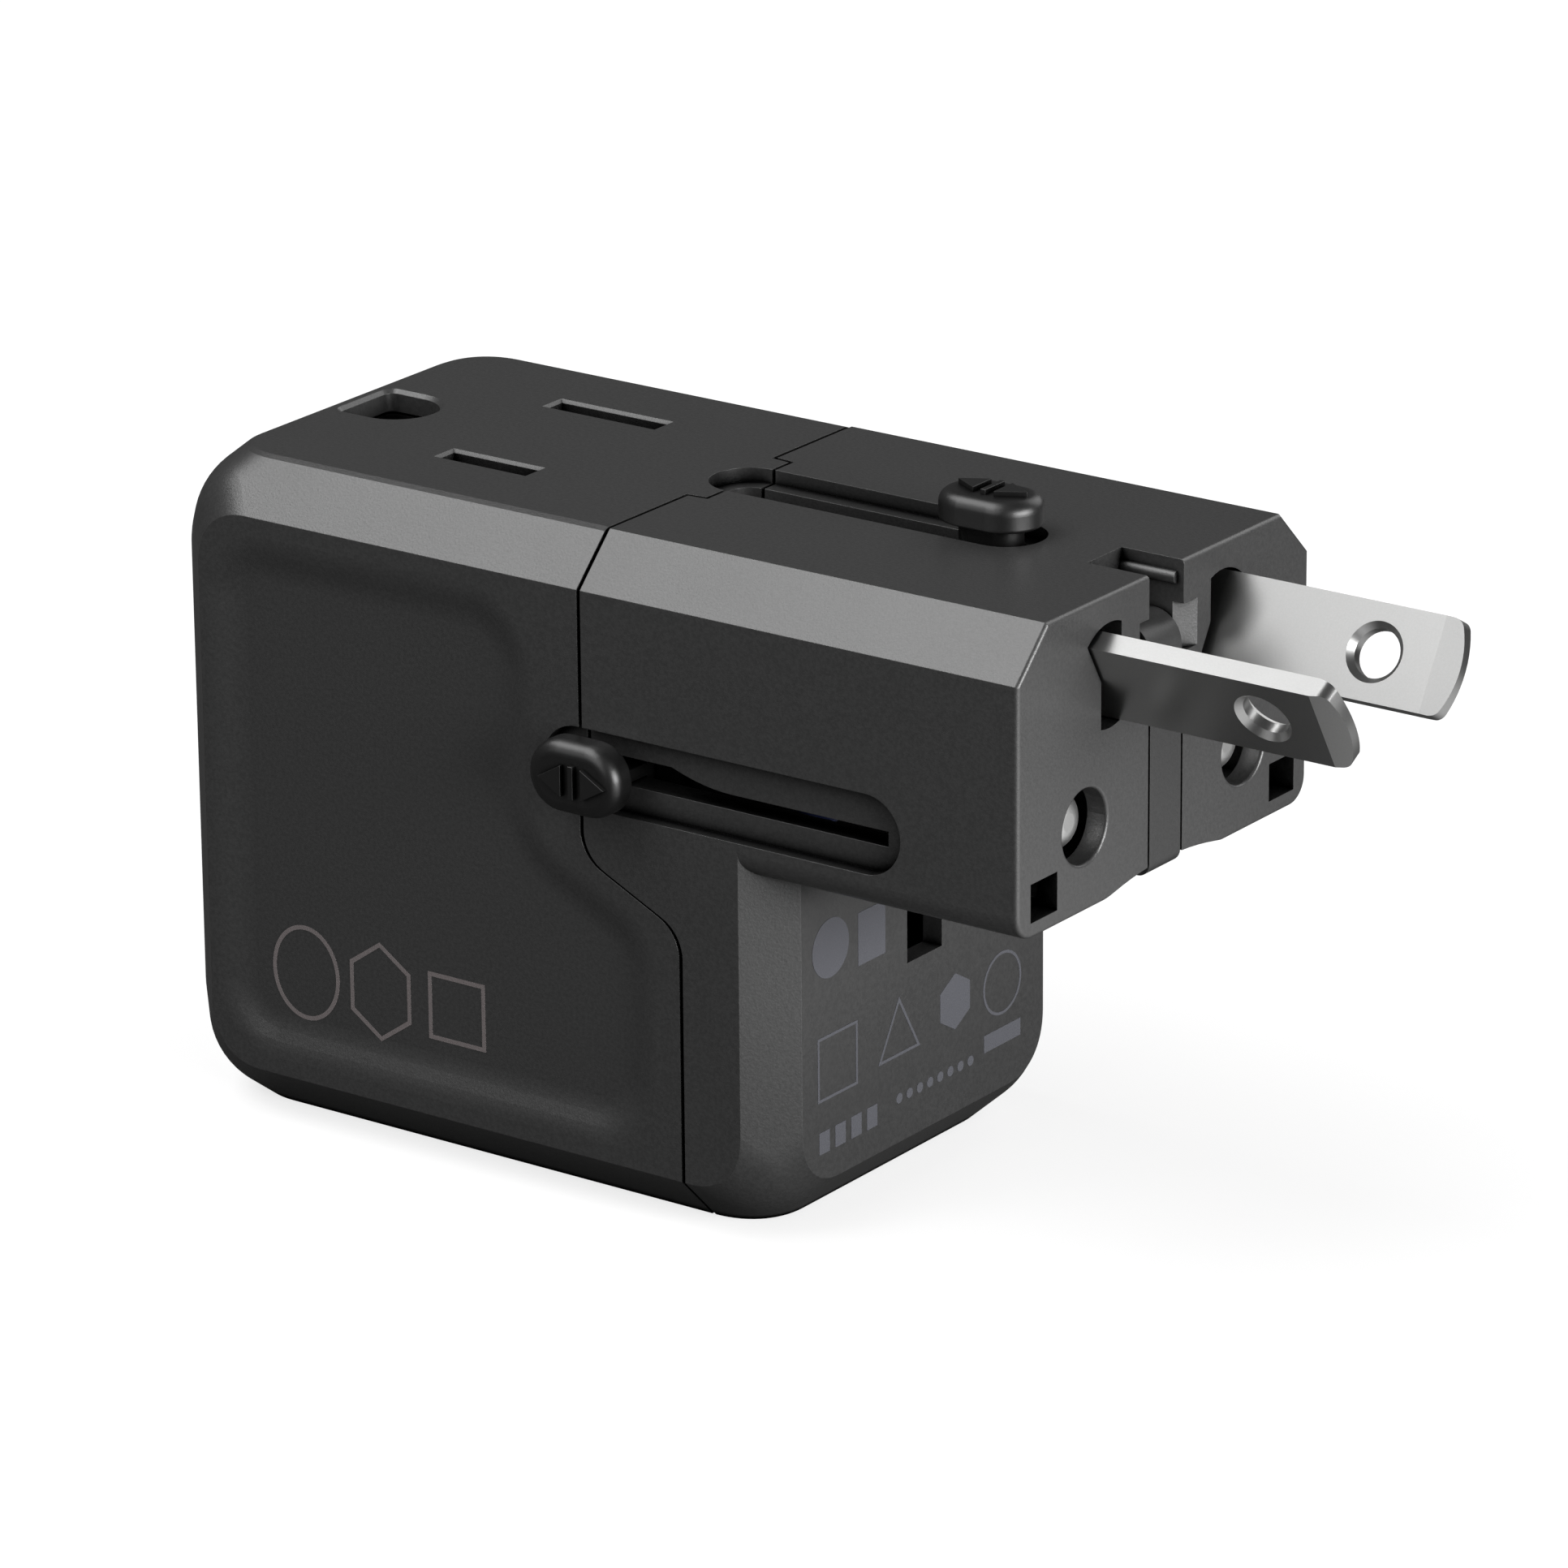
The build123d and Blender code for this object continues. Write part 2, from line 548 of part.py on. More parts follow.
with BuildPart() as socket_shutter:
    span_box(SHUTTER_X, (-SHUTTER_HALF, SHUTTER_HALF), SHUTTER_Z)
    with BuildSketch(Plane.XY.offset(SHUTTER_Z[1])):
        with Locations((sum(BACK_SLOT) / 2, OUTLET_Y - SHUTTER_TRAVEL)):
            Rectangle(BACK_SLOT[1] - BACK_SLOT[0] + 0.4, SLOT_WIDTH + 0.4)
    extrude(amount=-WALL, mode=Mode.SUBTRACT)
    front_lip = socket_shutter.edges().filter_by(Axis.X).group_by(Axis.Z)[-1].sort_by(Axis.Y)[0]
    chamfer(front_lip, 0.5)
    span_box((SHUTTER_X[0] - 1.8, SHUTTER_X[0]), (-1.4, 0.0), SHUTTER_Z)
finish(socket_shutter, "socket_shutter")

spring(
    Plane(origin=(SHUTTER_X[0] - 1.3, 0.05 + SHUTTER_SPRING_WIRE, sum(SHUTTER_Z) / 2), z_dir=(0, 1, 0)),
    SHUTTER_SPRING_END - 0.1, SHUTTER_SPRING_RADIUS, SHUTTER_SPRING_WIRE, "shutter_spring",
)

for name, way in (("live", -1), ("neutral", 1)):
    with BuildPart() as contact:
        base = (CHAMBER_FLOOR + 0.3, CHAMBER_FLOOR + 0.3 + CONTACT_THICK)
        jaw_in, jaw_out = way * (OUTLET_Y - CONTACT_JAW), way * (OUTLET_Y + CONTACT_JAW)
        span_box((FRONT_SLOT[0], CONTACT_RISER[0]), (jaw_in, jaw_out), base)
        for jaw, inward in ((jaw_in, way), (jaw_out, -way)):
            span_box(FRONT_SLOT, (jaw, jaw + inward * CONTACT_THICK), (base[0], JAW_TOP))
        span_box(CONTACT_RISER, (jaw_in, way * RAIL_Y[1]), (base[0], RAIL_Z[0] + 2))
    finish(contact, f"{name}_contact")

    with BuildPart() as rail:
        span_box(RAIL_X, (way * RAIL_Y[0], way * RAIL_Y[1]), RAIL_Z)
    finish(rail, f"{name}_rail")

# ---- US and AU plug: carriage, turning blade holders, blades, brushes and the push knob ----
with BuildPart() as us_carriage:
    span_box(US_CARRIAGE, (-US_CARRIAGE_HALF, US_CARRIAGE_HALF), US_CARRIAGE_Z)
    with BuildSketch(Plane.YZ.offset(HOLDER[0] - 0.05)):
        with Locations((-BLADE_Y, BLADE_Z), (BLADE_Y, BLADE_Z)):
            Circle(HOLDER_RADIUS + HOLDER_PLAY)
    extrude(amount=HOLDER[1] - HOLDER[0] + 0.1, mode=Mode.SUBTRACT)
    with BuildSketch(Plane.YZ.offset(HOLDER[1])):
        with Locations((-BLADE_Y, BLADE_Z), (BLADE_Y, BLADE_Z)):
            Circle(BLADE_SWEEP_RADIUS - 0.1)
    extrude(amount=2, mode=Mode.SUBTRACT)
    with BuildSketch(Plane.XY.offset(US_CARRIAGE_Z[1])):
        with Locations((US_KNOB_X, 0)):
            Rectangle(US_NECK[0] + 2 * POCKET_PLAY, US_NECK[1] + 2 * POCKET_PLAY)
    extrude(amount=US_SPRING_SEAT - US_CARRIAGE_Z[1], mode=Mode.SUBTRACT)
finish(us_carriage, "us_carriage")

for name, way in (("front", -1), ("back", 1)):
    tilt = radians(BLADE_TILT)
    across = Vector(0, way * sin(tilt), cos(tilt))
    outwards = Vector(0, cos(tilt), -way * sin(tilt))
    centre = (0, way * BLADE_Y, BLADE_Z)
    flat = Plane(origin=centre, x_dir=(1, 0, 0), z_dir=outwards)
    edge_on = Plane(origin=centre, x_dir=(1, 0, 0), z_dir=across)
    with BuildPart() as blade:
        half = BLADE_WIDTH / 2
        with BuildSketch(flat) as outline:
            with BuildLine():
                Polyline(
                    (BLADE_TIP_ARC, -half), (BLADE_ROOT, -half), (BLADE_ROOT, half), (BLADE_TIP_ARC, half),
                )
                ThreePointArc((BLADE_TIP_ARC, half), (BLADE_TIP, 0), (BLADE_TIP_ARC, -half))
            make_face()
            fillet(outline.vertices().sort_by(Axis.X)[-2:], BLADE_TIP_CORNER)
            with Locations((BLADE_HOLE_X, 0)):
                Circle(BLADE_HOLE_RADIUS, mode=Mode.SUBTRACT)
        extrude(amount=BLADE_THICK / 2, both=True)
        rims = blade.edges().filter_by(GeomType.CIRCLE)
        chamfer(rims.filter_by(lambda e: abs(e.radius - BLADE_HOLE_RADIUS) < 0.01), BLADE_HOLE_BEVEL)
        with BuildSketch(edge_on):
            past = BLADE_TIP + 1
            drop = BLADE_BEVEL_SLOPE * (past - BLADE_BEVEL_X)
            for side in (-1, 1):
                Polygon(
                    (BLADE_BEVEL_X, side * BLADE_THICK / 2), (past, side * (BLADE_THICK / 2 - drop)),
                    (past, side * BLADE_THICK), (BLADE_BEVEL_X, side * BLADE_THICK),
                    align=None,
                )
        extrude(amount=BLADE_WIDTH, both=True, mode=Mode.SUBTRACT)
    finish(blade, f"blade_{name}")

    with BuildPart() as holder:
        with BuildSketch(Plane.YZ.offset(HOLDER[0])):
            with Locations((way * BLADE_Y, BLADE_Z)):
                Circle(HOLDER_RADIUS)
        extrude(amount=HOLDER[1] - HOLDER[0])
        with BuildSketch(flat):
            with Locations(((BLADE_ROOT + HOLDER[1] + 1) / 2, 0)):
                Rectangle(HOLDER[1] + 1 - BLADE_ROOT, BLADE_WIDTH)
        extrude(amount=BLADE_THICK / 2, both=True, mode=Mode.SUBTRACT)
    finish(holder, f"blade_holder_{name}")

with BuildPart() as us_brushes:
    for way in (-1, 1):
        leaf = way * (US_CARRIAGE_HALF + BRUSH_THICK)
        span_box(US_BRUSH_X, (way * US_CARRIAGE_HALF, leaf), US_BRUSH_Z)
        span_box((US_BRUSH_X[1] - 3, US_BRUSH_X[1] - 1), (leaf, way * (RAIL_Y[0] - BRUSH_GAP)),
                 (US_BRUSH_Z[0] + 0.6, US_BRUSH_Z[1] - 0.6))
finish(us_brushes, "us_brushes")

with BuildPart() as us_knob:
    with BuildSketch(Plane.XY.offset(HEIGHT + KNOB_PROUD)):
        with Locations((US_KNOB_X, 0)):
            SlotOverall(KNOB_LENGTH, KNOB_WIDTH)
    extrude(amount=-KNOB_THICK)
    fillet(us_knob.faces().sort_by(Axis.Z)[-1].edges(), KNOB_EDGE)
    fillet(us_knob.faces().sort_by(Axis.Z)[0].edges(), KNOB_UNDER_EDGE)
    with BuildSketch(Plane.XY.offset(HEIGHT + KNOB_PROUD - KNOB_THICK)):
        with Locations((US_KNOB_X, 0)):
            SlotOverall(*US_NECK)
    extrude(amount=US_STEM_END - HEIGHT - KNOB_PROUD + KNOB_THICK)
finish(us_knob, "us_knob")

spring(
    Plane(origin=(US_KNOB_X, 0, US_SPRING_SEAT + SPRING_WIRE), z_dir=(0, 0, 1)),
    US_STEM_END - US_SPRING_SEAT, SPRING_RADIUS, SPRING_WIRE, "us_knob_spring",
)

# ---- EU plug: carriage, round pins, brushes and the push knob ----
with BuildPart() as eu_carriage:
    span_box(EU_CARRIAGE[:2], (-EU_CARRIAGE_HALF, EU_CARRIAGE_HALF), EU_CARRIAGE_Z)
    for way in (-1, 1):
        span_box(EU_CARRIAGE[1:], (way * EU_ARM[0], way * EU_ARM[1]), EU_CARRIAGE_Z)
    with BuildSketch(Plane.YZ.offset(EU_PIN_ROOT)):
        with Locations((-EU_PIN_Y, EU_PIN_Z), (EU_PIN_Y, EU_PIN_Z)):
            Circle(EU_PIN_RADIUS)
    extrude(amount=EU_CARRIAGE[2], mode=Mode.SUBTRACT)
    with BuildSketch(Plane.XZ.offset(EU_CARRIAGE_HALF)):
        with Locations((EU_KNOB_X, EU_KNOB_Z)):
            Rectangle(EU_STEM[0] + 2 * POCKET_PLAY, EU_STEM[1] + 2 * POCKET_PLAY)
    extrude(amount=EU_SPRING_SEAT - EU_CARRIAGE_HALF, mode=Mode.SUBTRACT)
finish(eu_carriage, "eu_carriage")

for name, way in (("front", -1), ("back", 1)):
    with BuildPart() as pin:
        with BuildSketch(Plane.YZ.offset(EU_PIN_ROOT)):
            with Locations((way * EU_PIN_Y, EU_PIN_Z)):
                Circle(EU_PIN_RADIUS)
        extrude(amount=EU_PIN_TIP - EU_PIN_ROOT)
        fillet(pin.edges().sort_by(Axis.X)[-1], EU_PIN_DOME)
    finish(pin, f"eu_pin_{name}")

with BuildPart() as eu_brushes:
    for way in (-1, 1):
        leaf_top = EU_CARRIAGE_Z[1] + BRUSH_THICK
        span_box(EU_BRUSH_X, (way * EU_BRUSH_Y[0], way * EU_BRUSH_Y[1]), (EU_CARRIAGE_Z[1], leaf_top))
        span_box((EU_BRUSH_X[0] + 1, EU_BRUSH_X[1] - 1), (way * RAIL_Y[0], way * RAIL_Y[1]),
                 (leaf_top, RAIL_Z[0] - BRUSH_GAP))
finish(eu_brushes, "eu_brushes")

with BuildPart() as eu_knob:
    with BuildSketch(Plane.XZ.offset(SIDE + KNOB_PROUD)):
        with Locations((EU_KNOB_X, EU_KNOB_Z)):
            SlotOverall(KNOB_LENGTH, KNOB_WIDTH)
    extrude(amount=-KNOB_THICK)
    fillet(eu_knob.faces().sort_by(Axis.Y)[0].edges(), KNOB_EDGE)
    fillet(eu_knob.faces().sort_by(Axis.Y)[-1].edges(), KNOB_UNDER_EDGE)
    neck_z = (EU_SLOT_LOW + EU_SLOT_HIGH) / 2
    span_box((EU_KNOB_X - EU_NECK[0] / 2, EU_KNOB_X + EU_NECK[0] / 2),
             (-SIDE - KNOB_PROUD + KNOB_THICK - 0.1, -EU_RAIL_FACE + POCKET_PLAY),
             (neck_z - EU_NECK[1] / 2, neck_z + EU_NECK[1] / 2))
    span_box((EU_KNOB_X - EU_STEM[0] / 2, EU_KNOB_X + EU_STEM[0] / 2),
             (-EU_RAIL_FACE + POCKET_PLAY, -EU_STEM_END),
             (EU_KNOB_Z - EU_STEM[1] / 2, EU_KNOB_Z + EU_STEM[1] / 2))
finish(eu_knob, "eu_knob")

spring(
    Plane(origin=(EU_KNOB_X, -EU_STEM_END + SPRING_WIRE, EU_KNOB_Z), z_dir=(0, 1, 0)),
    EU_STEM_END - EU_SPRING_SEAT, SPRING_RADIUS, SPRING_WIRE, "eu_knob_spring",
)

# ---- folding earth tongue and its pin ----
with BuildPart() as earth_tongue:
    back, front = TONGUE_PIVOT[0] - TONGUE_HEAD, TONGUE_PIVOT[0] + TONGUE_HEAD
    with BuildSketch(Plane.XZ):
        with Locations(TONGUE_PIVOT):
            Circle(TONGUE_HEAD)
        with BuildSketch(mode=Mode.PRIVATE) as leg:
            toe = PLUG_FLOOR + PIN_PLAY
            Polygon((back, toe), (front, toe), (front, TONGUE_PIVOT[1]), (back, TONGUE_PIVOT[1]), align=None)
            fillet(leg.vertices().group_by(Axis.Y)[0], TONGUE_TOE)
        add(leg.sketch)
        with Locations(TONGUE_PIVOT):
            Circle(TONGUE_PIN_RADIUS + PIN_PLAY, mode=Mode.SUBTRACT)
    extrude(amount=TONGUE_HALF, both=True)
finish(earth_tongue, "earth_tongue")

with BuildPart() as tongue_pin:
    with BuildSketch(Plane.XZ):
        with Locations(TONGUE_PIVOT):
            Circle(TONGUE_PIN_RADIUS)
    extrude(amount=NOTCH_HALF + NOTCH_WALL, both=True)
finish(tongue_pin, "tongue_pin")

# ---- charger: insulating plate, board and what stands on it ----
with BuildPart() as insulating_plate:
    span_box(PLATE_X, (-PLATE_HALF, PLATE_HALF), (FRAME_Z[0] - PLATE_THICK, FRAME_Z[0]))
finish(insulating_plate, "insulating_plate")

with BuildPart() as main_board:
    span_box(BOARD_X, (-BOARD_HALF, BOARD_HALF), (BOARD_Z, BOARD_TOP))
    with BuildSketch(Plane.XY.offset(BOARD_TOP)):
        with Locations(*POSTS):
            Circle(SCREW_RADIUS + PIN_PLAY)
    extrude(amount=-2 * BOARD_THICK, mode=Mode.SUBTRACT)
finish(main_board, "main_board")

with BuildPart() as board_screws:
    with BuildSketch(Plane.XY.offset(BOARD_TOP)):
        with Locations(*POSTS):
            Circle(SCREW_HEAD_RADIUS)
    extrude(amount=SCREW_HEAD_HEIGHT)
    with BuildSketch(Plane.XY.offset(BOARD_TOP)):
        with Locations(*POSTS):
            Circle(SCREW_RADIUS)
    extrude(amount=-SCREW_LENGTH)
    with BuildSketch(Plane.XY.offset(BOARD_TOP + SCREW_HEAD_HEIGHT)):
        with Locations(*POSTS):
            Rectangle(*SCREW_CROSS)
            Rectangle(*SCREW_CROSS[::-1])
    extrude(amount=-SCREW_HEAD_HEIGHT / 2, mode=Mode.SUBTRACT)
finish(board_screws, "board_screws")

with BuildPart() as transformer_core:
    with BuildSketch(Plane.XZ):
        with Locations((CORE_X, CORE_Z)):
            Rectangle(*CORE_SIZE)
        with Locations((CORE_X - CORE_WINDOW_X, CORE_Z), (CORE_X + CORE_WINDOW_X, CORE_Z)):
            Rectangle(*CORE_WINDOW, mode=Mode.SUBTRACT)
    extrude(amount=CORE_HALF, both=True)
finish(transformer_core, "transformer_core")

with BuildPart() as transformer_winding:
    with BuildSketch(Plane.XY.offset(CORE_Z - CORE_WINDOW[1] / 2 + 0.1)):
        with Locations((CORE_X, 0)):
            coil_width = 2 * CORE_WINDOW_X + CORE_WINDOW[0] - 0.2
            RectangleRounded(coil_width, 2 * (CORE_HALF + CORE_WINDOW[0]), 1.5)
            leg_width = 2 * CORE_WINDOW_X - CORE_WINDOW[0]
            Rectangle(leg_width + 0.1, 2 * CORE_HALF + 0.1, mode=Mode.SUBTRACT)
    extrude(amount=CORE_WINDOW[1] - 0.2)
finish(transformer_winding, "transformer_winding")

with BuildPart() as mains_capacitors:
    with BuildSketch(Plane.XY.offset(BOARD_TOP)):
        with Locations(*MAINS_CAPACITORS):
            Circle(MAINS_CAPACITOR[0])
    extrude(amount=MAINS_CAPACITOR[1])
    fillet(mains_capacitors.edges().group_by(Axis.Z)[-1], CAPACITOR_EDGE)
finish(mains_capacitors, "mains_capacitors")

with BuildPart() as output_capacitor:
    with BuildSketch(Plane.XY.offset(BOARD_TOP)):
        with Locations(OUTPUT_CAPACITOR_AT):
            Circle(OUTPUT_CAPACITOR[0])
    extrude(amount=OUTPUT_CAPACITOR[1])
    fillet(output_capacitor.edges().group_by(Axis.Z)[-1], CAPACITOR_EDGE)
finish(output_capacitor, "output_capacitor")

with BuildPart() as choke:
    with BuildSketch(Plane.XY.offset(BOARD_TOP)):
        with Locations(CHOKE_AT):
            Circle(CHOKE_WAIST)
    extrude(amount=CHOKE_HEIGHT)
    for level in (BOARD_TOP, BOARD_TOP + CHOKE_HEIGHT - CHOKE_FLANGE):
        with BuildSketch(Plane.XY.offset(level)):
            with Locations(CHOKE_AT):
                Circle(CHOKE_RADIUS)
        extrude(amount=CHOKE_FLANGE)
finish(choke, "choke")

with BuildPart() as rectifier:
    span_box(RECTIFIER_X, RECTIFIER_Y, (BOARD_TOP + 0.1, BOARD_TOP + RECTIFIER_HEIGHT))
    for lead_x in (RECTIFIER_X[0] + 0.9, RECTIFIER_X[1] - 0.9 - LEAD_WIDTH):
        for edge, reach in ((RECTIFIER_Y[0], -LEAD_REACH), (RECTIFIER_Y[1], LEAD_REACH)):
            span_box((lead_x, lead_x + LEAD_WIDTH), (edge, edge + reach),
                     (BOARD_TOP, BOARD_TOP + LEAD_HEIGHT))
finish(rectifier, "rectifier")

with BuildPart() as fuse:
    with BuildSketch(Plane.YZ.offset(FUSE_X[0])):
        with Locations((FUSE_Y, FUSE_Z)):
            Circle(FUSE_RADIUS)
    extrude(amount=FUSE_X[1] - FUSE_X[0])
finish(fuse, "fuse")

with BuildPart() as fuse_clips:
    for start in (FUSE_X[0] + 0.5, FUSE_X[1] - 0.5 - CLIP_WIDTH):
        span_box((start, start + CLIP_WIDTH), (FUSE_Y - CLIP_HALF, FUSE_Y + CLIP_HALF),
                 (BOARD_TOP, FUSE_Z))
    with BuildSketch(Plane.YZ.offset(FUSE_X[0])):
        with Locations((FUSE_Y, FUSE_Z)):
            Circle(FUSE_RADIUS + 0.02)
    extrude(amount=FUSE_X[1] - FUSE_X[0], mode=Mode.SUBTRACT)
finish(fuse_clips, "fuse_clips")

# ---- USB receptacles ----
with BuildPart() as usb_a_shell:
    usb_a_y = (USB_A_Y - USB_A_SIZE[0] / 2, USB_A_Y + USB_A_SIZE[0] / 2)
    usb_a_z = (USB_A_Z - USB_A_SIZE[1] / 2, USB_A_Z + USB_A_SIZE[1] / 2)
    span_box((USB_FACE, USB_A_BACK), usb_a_y, usb_a_z)
    span_box((USB_FACE - 1, USB_A_BACK - USB_SHEET), (usb_a_y[0] + USB_SHEET, usb_a_y[1] - USB_SHEET),
             (usb_a_z[0] + USB_SHEET, usb_a_z[1] - USB_SHEET), mode=Mode.SUBTRACT)
finish(usb_a_shell, "usb_a_shell")

with BuildPart() as usb_a_tongue:
    span_box((USB_FACE + 0.6, USB_A_BACK - USB_SHEET), (USB_A_Y - 5.6, USB_A_Y + 5.6),
             (USB_A_Z + 0.3, USB_A_Z + 2.1))
    span_box((USB_A_BACK - 1.5, USB_A_BACK - USB_SHEET), (USB_A_Y - 6.2, USB_A_Y + 6.2),
             (usb_a_z[0] + USB_SHEET, usb_a_z[1] - USB_SHEET))
finish(usb_a_tongue, "usb_a_tongue")

with BuildPart() as usb_c_shell:
    with BuildSketch(Plane.YZ.offset(USB_FACE)):
        with Locations((USB_C_Y, USB_C_Z)):
            SlotOverall(*USB_C_SIZE)
    extrude(amount=USB_C_DEPTH)
    with BuildSketch(Plane.YZ.offset(USB_FACE)):
        with Locations((USB_C_Y, USB_C_Z)):
            SlotOverall(USB_C_SIZE[0] - 2 * USB_SHEET, USB_C_SIZE[1] - 2 * USB_SHEET)
    extrude(amount=USB_C_DEPTH - USB_SHEET, mode=Mode.SUBTRACT)
finish(usb_c_shell, "usb_c_shell")

with BuildPart() as usb_c_tongue:
    usb_c_back = USB_FACE + USB_C_DEPTH - USB_SHEET
    span_box((USB_FACE + 0.8, usb_c_back), (USB_C_Y - 3.35, USB_C_Y + 3.35), (USB_C_Z - 0.35, USB_C_Z + 0.35))
    span_box((usb_c_back - 1.5, usb_c_back), (USB_C_Y - 2.9, USB_C_Y + 2.9), (USB_C_Z - 1.3, USB_C_Z + 1.3))
finish(usb_c_tongue, "usb_c_tongue")
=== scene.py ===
"""Looks of the universal travel adapter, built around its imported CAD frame. Everything is in metres."""

import json
from math import cos, pi, sin

import bmesh
import bpy
from mathutils import Matrix, Vector


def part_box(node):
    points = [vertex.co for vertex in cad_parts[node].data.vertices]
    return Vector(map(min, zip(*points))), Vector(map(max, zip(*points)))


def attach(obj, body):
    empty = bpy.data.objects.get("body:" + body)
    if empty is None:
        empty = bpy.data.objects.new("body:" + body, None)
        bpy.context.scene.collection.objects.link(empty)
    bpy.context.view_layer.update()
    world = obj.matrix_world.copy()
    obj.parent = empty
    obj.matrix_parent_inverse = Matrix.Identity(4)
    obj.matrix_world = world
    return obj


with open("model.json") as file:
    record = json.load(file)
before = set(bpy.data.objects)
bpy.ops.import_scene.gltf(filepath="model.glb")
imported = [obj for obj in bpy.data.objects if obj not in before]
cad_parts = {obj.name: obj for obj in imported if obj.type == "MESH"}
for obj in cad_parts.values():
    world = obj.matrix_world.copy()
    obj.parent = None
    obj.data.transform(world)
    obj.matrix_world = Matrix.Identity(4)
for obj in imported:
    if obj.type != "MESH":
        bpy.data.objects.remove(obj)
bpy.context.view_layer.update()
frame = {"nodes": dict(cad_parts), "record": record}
MM = 0.001


# ---- materials ----
def material(name, colour, roughness, metallic=0.0, specular=0.5, coat=0.0):
    """A material with constant values on the shader's own sockets."""
    made = bpy.data.materials.new(name)
    made.use_nodes = True
    sockets = made.node_tree.nodes["Principled BSDF"].inputs
    sockets["Base Color"].default_value = (*colour, 1)
    sockets["Roughness"].default_value = roughness
    sockets["Metallic"].default_value = metallic
    sockets["Specular IOR Level"].default_value = specular
    sockets["Coat Weight"].default_value = coat
    sockets["Coat Roughness"].default_value = 0.15
    return made


def noise(made, size, detail=2.0, stretch=(1, 1, 1)):
    """Noise output whose features are about size across, longer along the axes with a small stretch."""
    nodes, links = made.node_tree.nodes, made.node_tree.links
    place = nodes.new("ShaderNodeTexCoord")
    scaled = nodes.new("ShaderNodeMapping")
    scaled.inputs["Scale"].default_value = stretch
    pattern = nodes.new("ShaderNodeTexNoise")
    pattern.inputs["Scale"].default_value = 1 / size
    pattern.inputs["Detail"].default_value = detail
    links.new(place.outputs["Object"], scaled.inputs["Vector"])
    links.new(scaled.outputs["Vector"], pattern.inputs["Vector"])
    return pattern.outputs["Fac"]


def relief(made, height, depth, edge=0.0):
    """Surface relief of a given depth, over edges softened by a given radius."""
    nodes, links = made.node_tree.nodes, made.node_tree.links
    bump = nodes.new("ShaderNodeBump")
    bump.inputs["Distance"].default_value = depth
    links.new(height, bump.inputs["Height"])
    if edge:
        soft = nodes.new("ShaderNodeBevel")
        soft.samples = 6
        soft.inputs["Radius"].default_value = edge
        links.new(soft.outputs["Normal"], bump.inputs["Normal"])
    links.new(bump.outputs["Normal"], nodes["Principled BSDF"].inputs["Normal"])


def tint(made, factor, low, high, span=(0.35, 0.65)):
    """Colour that runs from low to high with a noise."""
    nodes, links = made.node_tree.nodes, made.node_tree.links
    ramp = nodes.new("ShaderNodeValToRGB")
    for stop, at, colour in zip(ramp.color_ramp.elements, span, (low, high)):
        stop.position = at
        stop.color = (*colour, 1)
    links.new(factor, ramp.inputs["Fac"])
    links.new(ramp.outputs["Color"], nodes["Principled BSDF"].inputs["Base Color"])


def gloss(made, factor, low, high):
    """Roughness that runs from low to high with a noise."""
    nodes, links = made.node_tree.nodes, made.node_tree.links
    spread = nodes.new("ShaderNodeMapRange")
    for name, value in (("From Min", 0.3), ("From Max", 0.7), ("To Min", low), ("To Max", high)):
        spread.inputs[name].default_value = value
    links.new(factor, spread.inputs["Value"])
    links.new(spread.outputs["Result"], nodes["Principled BSDF"].inputs["Roughness"])


def paint_hollow_shade(made, specular):
    """Painted shade: hollows and gaps lose their sheen and colour by ambient occlusion, so that slots and the
    parting line go black.
    """
    nodes, links = made.node_tree.nodes, made.node_tree.links
    shader = nodes["Principled BSDF"]
    painted_shade = None
    # Painted shade: two reaches of ambient occlusion, one within the part and one that also counts nearby
    # parts, multiply into one factor.
    for reach, own_only, low, high in ((3.5 * MM, True, 0.48, 0.94), (0.8 * MM, False, 0.3, 0.8)):
        shade, spread = nodes.new("ShaderNodeAmbientOcclusion"), nodes.new("ShaderNodeMapRange")
        shade.samples = 8
        shade.only_local = own_only
        shade.inputs["Distance"].default_value = reach
        spread.inputs["From Min"].default_value = low
        spread.inputs["From Max"].default_value = high
        links.new(shade.outputs["AO"], spread.inputs["Value"])
        if painted_shade:
            links.new(painted_shade, spread.inputs["To Max"])
        painted_shade = spread.outputs["Result"]
    shaded_sheen, shaded_colour = nodes.new("ShaderNodeMath"), nodes.new("ShaderNodeVectorMath")
    shaded_sheen.operation, shaded_colour.operation = "MULTIPLY", "SCALE"
    shaded_sheen.inputs[1].default_value = specular
    # Painted shade takes the sheen out of hollows and gaps.
    links.new(painted_shade, shaded_sheen.inputs[0])
    links.new(shaded_sheen.outputs["Value"], shader.inputs["Specular IOR Level"])
    # Painted shade darkens the base colour in hollows and gaps.
    links.new(shader.inputs["Base Color"].links[0].from_socket, shaded_colour.inputs[0])
    links.new(painted_shade, shaded_colour.inputs["Scale"])
    links.new(shaded_colour.outputs["Vector"], shader.inputs["Base Color"])


def grey(level):
    return (level, level, level)


def textured_plastic(name, level, roughness, grain, depth, edge, specular=0.5):
    """Moulded black plastic with a spark-eroded grain, slightly uneven in tone and gloss, with painted shade in
    its hollows and gaps.
    """
    made = material(name, grey(level), roughness, specular=specular)
    relief(made, noise(made, grain, 3), depth, edge)
    fleck = noise(made, grain * 1.6, 2)
    tint(made, fleck, grey(level * 0.86), grey(level * 1.16))
    gloss(made, noise(made, 9 * MM), roughness - 0.01, roughness + 0.01)
    # Painted shade in hollows and gaps.
    paint_hollow_shade(made, specular)
    return made


